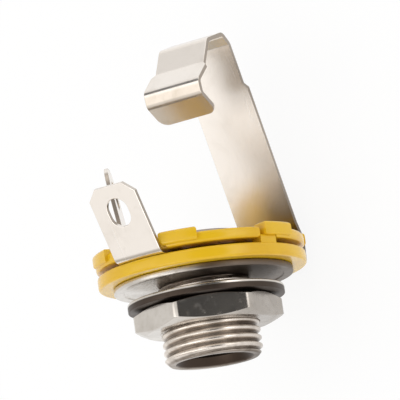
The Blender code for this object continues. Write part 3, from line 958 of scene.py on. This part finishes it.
class JACK_OT_discs(Operator):
    """Makes the two moulded discs that hold the tip contact between them"""

    bl_idname = "jack.discs"
    bl_label = "Yellow discs"

    def execute(self, context):
        sizes = context.scene.jack_sizes
        edge = sizes.moulded_edge
        low, high = FRONT_DISC_LOW, FRONT_DISC_LOW + FRONT_DISC_THICKNESS
        body = bmesh.new()
        lathe(body, [
            (TAIL_HOLE, HUB_TOP, 0),
            (HUB_RADIUS, HUB_TOP, sizes.key_edge),
            (HUB_RADIUS, high, 0),
            (DISC_RADIUS, high, edge),
            (DISC_RADIUS, low, edge),
            (TAIL_HOLE, low, 0),
        ])
        outer = DISC_RADIUS - RIM_INSET
        inner = outer - RIM_WIDTH
        rim_block(body, KEY_TURN, KEY_SPREAD, inner, outer, high - KEY_SINK, high + KEY_HEIGHT, sizes.key_edge)
        finish = yellow_plastic("front_disc_yellow")
        put_in_place("front_disc", body, finish, ["front_insulator"])

        low, high = REAR_DISC_LOW, REAR_DISC_LOW + REAR_DISC_THICKNESS
        body = bmesh.new()
        stamping(body, self.rear_outline(), [circle(TAIL_HOLE)], high - low, edge, (low + high) / 2)
        inner, outer = DISC_RADIUS - RIM_WIDTH, DISC_RADIUS + BLOCK_OVERHANG
        for i in range(BLOCK_COUNT):
            turn = BLOCK_TURN + math.tau * i / BLOCK_COUNT
            rim_block(body, turn, BLOCK_SPREAD, inner, outer, low + edge, BLOCK_TOP, sizes.block_edge)
        finish = yellow_plastic("rear_disc_yellow")
        put_in_place("rear_disc", body, finish, ["rear_insulator"])
        return {"FINISHED"}

    def rear_outline(self):
        """A disc with a straight-sided notch for the tip's lug and a slot for the front disc's key."""
        half = NOTCH_WIDTH / 2
        notch_turn = math.asin(half / DISC_RADIUS)
        slot_floor = DISC_RADIUS - RIM_INSET - RIM_WIDTH - KEY_CLEARANCE
        slot_half = KEY_SPREAD / 2 + KEY_CLEARANCE / DISC_RADIUS
        after_notch = 1.5 * math.pi + notch_turn
        to_slot = arc((0, 0), DISC_RADIUS, after_notch, math.tau + KEY_TURN - slot_half, ROUND_STEPS // 4)
        slot = arc((0, 0), slot_floor, KEY_TURN - slot_half, KEY_TURN + slot_half, CORNER_STEPS)
        rest = arc((0, 0), DISC_RADIUS, KEY_TURN + slot_half, 1.5 * math.pi - notch_turn, ROUND_STEPS)
        return to_slot + slot + rest + [(-half, -NOTCH_FLOOR), (half, -NOTCH_FLOOR)]


class JACK_OT_tip_contact(Operator):
    """Makes the tip contact: ring, solder lug and leaf spring in one folded sheet"""

    bl_idname = "jack.tip_contact"
    bl_label = "Tip contact"

    def execute(self, context):
        sizes = context.scene.jack_sizes
        lug_top = lug_end(-TIP_LUG_ROOT, TIP_LUG_LENGTH, TIP_LUG_TILT, SHEET_LEVEL)
        bends = [(-TIP_LUG_ROOT, SHEET_LEVEL), (FOOT_REACH, SHEET_LEVEL)]
        before_leaf = len(bends)
        bends += [(across, SHEET_LEVEL + height) for across, height in LEAF_BENDS]
        end = (LEAF_END[0], SHEET_LEVEL + LEAF_END[1])
        line = BentLine([lug_top, *bends, end], sizes.bend_radius)
        lug_run = BentLine([lug_top, (-TIP_LUG_ROOT, SHEET_LEVEL), (0, SHEET_LEVEL)], sizes.bend_radius).length
        neck_low = line.bends[before_leaf + LEAF_SHOULDER] - NECK_DROP - lug_run
        neck_high = line.bends[before_leaf + LEAF_VALLEY] - lug_run
        half_leaf, half_neck, half_lug = LEAF_WIDTH / 2, NECK_WIDTH / 2, TIP_LUG_WIDTH / 2
        side = [
            (half_leaf, neck_low - NECK_TAPER),
            (half_neck, neck_low),
            (half_neck, neck_high),
            (half_leaf, neck_high + NECK_TAPER),
        ]
        other_side = [(-x, y) for x, y in reversed(side)]
        leaf = side + rounded_end(half_leaf, line.length - lug_run, END_CORNER) + other_side
        lug = chamfered_end(half_lug, lug_run, TIP_LUG_CHAMFER)
        outline = disc_with_tabs(TIP_RING_RADIUS, [(0, half_leaf, leaf), (math.pi, half_lug, lug)])
        lug_eye = turned_points(eye(lug_run - EYE_FROM_END), math.pi)
        body = bmesh.new()
        holes = [circle(TIP_RING_HOLE), lug_eye]
        stamping(body, outline, holes, sizes.sheet_thickness, sizes.sheet_edge)
        fold(body, line, -lug_run)
        finish = satin_nickel("tip_nickel")
        nodes = ["tip_terminal", "tip_spring"]
        piece = put_in_place("tip_contact", body, finish, nodes, None, SHEET_SMOOTH_ANGLE)
        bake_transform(piece)
        return {"FINISHED"}


class JACK_OT_rear_hardware(Operator):
    """Makes the backing washer and the ground terminal under the rolled tail"""

    bl_idname = "jack.rear_hardware"
    bl_label = "Backing washer and ground terminal"

    def execute(self, context):
        sizes = context.scene.jack_sizes
        body = bmesh.new()
        lathe(body, [
            (TAIL_HOLE, BACKING_HIGH, 0),
            (BACKING_RADIUS, BACKING_HIGH, sizes.turned_edge),
            (BACKING_RADIUS, BACKING_LOW, sizes.turned_edge),
            (TAIL_HOLE, BACKING_LOW, 0),
        ])
        finish = bright_nickel("backing_nickel", 0.5)
        put_in_place("backing_ring", body, finish, ["backing_washer"])

        lug_top = lug_end(GROUND_LUG_ROOT, GROUND_LUG_LENGTH, GROUND_LUG_TILT)
        line = BentLine([(-GROUND_RING_RADIUS, 0), (GROUND_LUG_ROOT, 0), lug_top], sizes.bend_radius)
        flat_end = line.length - GROUND_RING_RADIUS
        half_lug = GROUND_LUG_WIDTH / 2
        lug = rounded_end(half_lug, flat_end, GROUND_LUG_CORNER)
        outline = disc_with_tabs(GROUND_RING_RADIUS, [(0, half_lug, lug)])
        holes = [circle(TAIL_HOLE), eye(flat_end - EYE_FROM_END)]
        body = bmesh.new()
        stamping(body, outline, holes, sizes.sheet_thickness, sizes.sheet_edge)
        fold(body, line, -GROUND_RING_RADIUS)
        bmesh.ops.rotate(body, verts=body.verts, matrix=Matrix.Rotation(GROUND_LUG_TURN, 3, "Z"))
        bmesh.ops.translate(body, verts=body.verts, vec=(0, 0, GROUND_LEVEL))
        finish = satin_nickel("ground_nickel", -GROUND_LUG_TURN)
        nodes = ["ground_terminal"]
        put_in_place("ground_contact", body, finish, nodes, smooth_angle=SHEET_SMOOTH_ANGLE)
        return {"FINISHED"}


class JACK_OT_washer(Operator):
    """Makes the loose washer in front of the panel"""

    bl_idname = "jack.washer"
    bl_label = "Washer"

    def execute(self, context):
        edge = context.scene.jack_sizes.turned_edge
        inner = THREAD_RADIUS + THREAD_GAP
        body = bmesh.new()
        lathe(body, [
            (inner, WASHER_HIGH, edge),
            (WASHER_RADIUS, WASHER_HIGH, edge),
            (WASHER_RADIUS, WASHER_LOW, edge / 2),
            (inner, WASHER_LOW, edge),
        ])
        # The washer is painted dark as shade, all but a bright band at its back
        finish = bright_nickel("washer_nickel", 0.6, WASHER_SHADE)
        put_in_place("panel_washer", body, finish, ["flat_washer"], body="washer")
        return {"FINISHED"}


class JACK_OT_nut(Operator):
    """Makes the hexagon nut with its thread and its coned faces"""

    bl_idname = "jack.nut"
    bl_label = "Nut"

    def execute(self, context):
        sizes = context.scene.jack_sizes
        flat = NUT_ACROSS_FLATS / 2
        corner = NUT_ACROSS_FLATS / math.sqrt(3)
        face = flat - NUT_FACE_INSET
        slope = NUT_CORNER_DROP / (corner - face)
        edge = sizes.turned_edge / 2
        root = THREAD_RADIUS + sizes.thread_play
        crest = root - sizes.thread_depth
        mouth = root + sizes.thread_play
        low, high = NUT_LOW, NUT_HIGH
        columns = []
        turns = self.hexagon_turns(flat, sizes.nut_corner)
        for turn in turns:
            outer = self.hexagon_radius(turn, flat, sizes.nut_corner)
            drop = slope * (outer - face)
            corners = [
                (mouth, high, 0),
                (face, high, edge),
                (outer, high - drop, edge),
                (outer, low + drop, edge),
                (face, low, edge),
                (mouth, low, 0),
            ]
            columns.append(column(turn, rounded_loop(corners)))
        body = bmesh.new()
        skin(body, columns)

        def radius_at(height, phase):
            form = crest + sizes.thread_depth * thread_rise(phase, *NUT_THREAD)
            return max(form, mouth - (height - low), mouth - (high - height))

        skin(body, thread_columns(turns, low, high, sizes.thread_pitch, radius_at))
        # The nut's shaded side is painted darker
        finish = bright_nickel("nut_nickel", 0.15, NUT_SHADE)
        put_in_place("panel_nut", body, finish, ["hex_nut"], body="nut")
        return {"FINISHED"}

    def hexagon_turns(self, flat, rounding):
        """Turns about the axis that put columns closely round the corners and sparsely along the flats."""
        tangent = self.corner_spread(flat, rounding)
        run = math.pi / 3 - 2 * tangent
        along = [tangent + run * i / NUT_FLAT_STEPS for i in range(NUT_FLAT_STEPS + 1)]
        around = [-tangent + 2 * tangent * i / NUT_CORNER_STEPS for i in range(1, NUT_CORNER_STEPS)]
        turns = [NUT_TURN + math.pi / 3 * side + turn for side in range(6) for turn in (*around, *along)]
        return [*turns, turns[0] + math.tau]

    def corner_spread(self, flat, rounding):
        """Half of the angle that a rounded corner takes up, seen from the axis."""
        centre = (flat - rounding) / math.cos(math.pi / 6)
        return math.atan2(rounding / 2, centre + rounding * math.cos(math.pi / 6))

    def hexagon_radius(self, turn, flat, rounding):
        """The nut's reach from its axis at a turn."""
        centre = (flat - rounding) / math.cos(math.pi / 6)
        from_corner = abs((turn - NUT_TURN + math.pi / 6) % (math.pi / 3) - math.pi / 6)
        if from_corner >= self.corner_spread(flat, rounding):
            return flat / math.cos(math.pi / 6 - from_corner)
        aside = centre * math.sin(from_corner)
        return centre * math.cos(from_corner) + math.sqrt(rounding ** 2 - aside ** 2)


class JACK_OT_stage(Operator):
    """Sets the floor, the soft light round the object and the camera"""

    bl_idname = "jack.stage"
    bl_label = "Stage"

    def execute(self, context):
        scene = context.scene
        stage = scene.jack_stage
        scene.view_settings.view_transform = "Standard"
        self.lay_floor(stage)
        self.light_world(scene)
        self.hang_lamp(stage.key_power)
        camera_data = bpy.data.cameras.new("jack_camera")
        camera_data.lens = stage.lens
        camera_data.clip_end = SEEN_FAR
        camera = new_object("jack_camera", camera_data)
        back = VIEW_RIGHT.cross(VIEW_UP).normalized()
        right = VIEW_RIGHT.normalized()
        up = back.cross(right)
        distance = stage.width * stage.lens / camera_data.sensor_width
        turned = Matrix((right, up, back)).transposed().to_4x4()
        camera.matrix_world = Matrix.Translation(VIEW_TARGET + distance * back) @ turned
        scene.camera = camera
        return {"FINISHED"}

    def lay_floor(self, stage):
        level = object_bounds()[0][2] - stage.floor_gap
        body = bmesh.new()
        bmesh.ops.create_grid(body, x_segments=1, y_segments=1, size=FLOOR_HALF)
        mesh = bpy.data.meshes.new("floor")
        body.to_mesh(mesh)
        body.free()
        floor = new_object("floor", mesh)
        floor.location = (0, 0, level)
        finish, _ = new_finish("floor_paper")
        paper = finish.node("ShaderNodeBsdfDiffuse", None, {"Color": (*stage.floor_colour, 1)})
        white = finish.node("ShaderNodeEmission", None, {"Color": (1, 1, 1, 1), "Strength": 1.0})
        seen = 0
        for kind in ("Is Camera Ray", "Is Glossy Ray", "Is Transmission Ray"):
            seen = finish.node("ShaderNodeLightPath", output=kind) + seen
        share = seen.clamped() * (1 - stage.shadow_keep)
        mixed = finish.node("ShaderNodeMixShader", None, {0: share, 1: paper, 2: white})
        finish.node("ShaderNodeOutputMaterial", None, {"Surface": mixed})
        mesh.materials.append(finish.owner)
        floor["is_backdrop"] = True

    def light_world(self, scene):
        """A plain white room with a few brighter and darker patches, and a warmer one in front."""
        world = bpy.data.worlds.new("studio")
        scene.world = world
        finish = Finish(world)
        heading = finish.node("ShaderNodeTexCoord", output="Generated")

        def patch(direction, start, full):
            return finish.dot(heading, Vector(direction).normalized()).rise(start, full)

        level = ROOM_LEVEL
        for *place, share in BRIGHT_PATCHES.values():
            level = patch(*place) * share + level
        for *place, share in DARK_PATCHES.values():
            level = level * (1 - patch(*place) * share)
        *place, _ = DARK_PATCHES["front"]
        tint = finish.mixed(patch(*place), ROOM_WHITE, FRONT_TINT)
        room = finish.node("ShaderNodeVectorMath", {"operation": "SCALE"}, {0: tint, "Scale": level})
        background = finish.node("ShaderNodeBackground", None, {"Color": room, "Strength": 1.0})
        finish.node("ShaderNodeOutputWorld", None, {"Surface": background})

    def hang_lamp(self, power):
        lamp_data = bpy.data.lights.new("key_lamp", "AREA")
        lamp_data.size = LAMP_SIZE
        lamp_data.energy = power
        lamp = new_object("key_lamp", lamp_data)
        lamp.location = LAMP_PLACE
        lamp.rotation_euler = Vector(LAMP_PLACE).to_track_quat("Z", "Y").to_euler()


OPERATORS = [
    JACK_OT_bushing,
    JACK_OT_front_plate,
    JACK_OT_discs,
    JACK_OT_tip_contact,
    JACK_OT_rear_hardware,
    JACK_OT_washer,
    JACK_OT_nut,
    JACK_OT_stage,
]


class JACK_PT_sidebar(Panel):
    """Lists the pieces, and the sizes and colours that they are made from"""

    bl_idname = "JACK_PT_sidebar"
    bl_label = "Phone jack"
    bl_space_type = "VIEW_3D"
    bl_region_type = "UI"
    bl_category = "Phone jack"

    def draw(self, context):
        for operator in OPERATORS:
            self.layout.operator(operator.bl_idname)
        for group in (context.scene.jack_sizes, context.scene.jack_colours, context.scene.jack_stage):
            box = self.layout.box()
            for name in group.bl_rna.properties.keys():
                if name not in ("rna_type", "name"):
                    box.prop(group, name)


CLASSES = [JackSizes, JackColours, JackStage, *OPERATORS, JACK_PT_sidebar]


def register():
    for cls in CLASSES:
        bpy.utils.register_class(cls)
    bpy.types.Scene.jack_sizes = PointerProperty(type=JackSizes)
    bpy.types.Scene.jack_colours = PointerProperty(type=JackColours)
    bpy.types.Scene.jack_stage = PointerProperty(type=JackStage)


def unregister():
    del bpy.types.Scene.jack_stage
    del bpy.types.Scene.jack_colours
    del bpy.types.Scene.jack_sizes
    for cls in reversed(CLASSES):
        bpy.utils.unregister_class(cls)


def main():
    register()
    bpy.ops.jack.stage()
    bpy.ops.jack.bushing()
    bpy.ops.jack.front_plate()
    bpy.ops.jack.discs()
    bpy.ops.jack.tip_contact()
    bpy.ops.jack.rear_hardware()
    bpy.ops.jack.washer()
    bpy.ops.jack.nut()


if __name__ == "__main__":
    main()
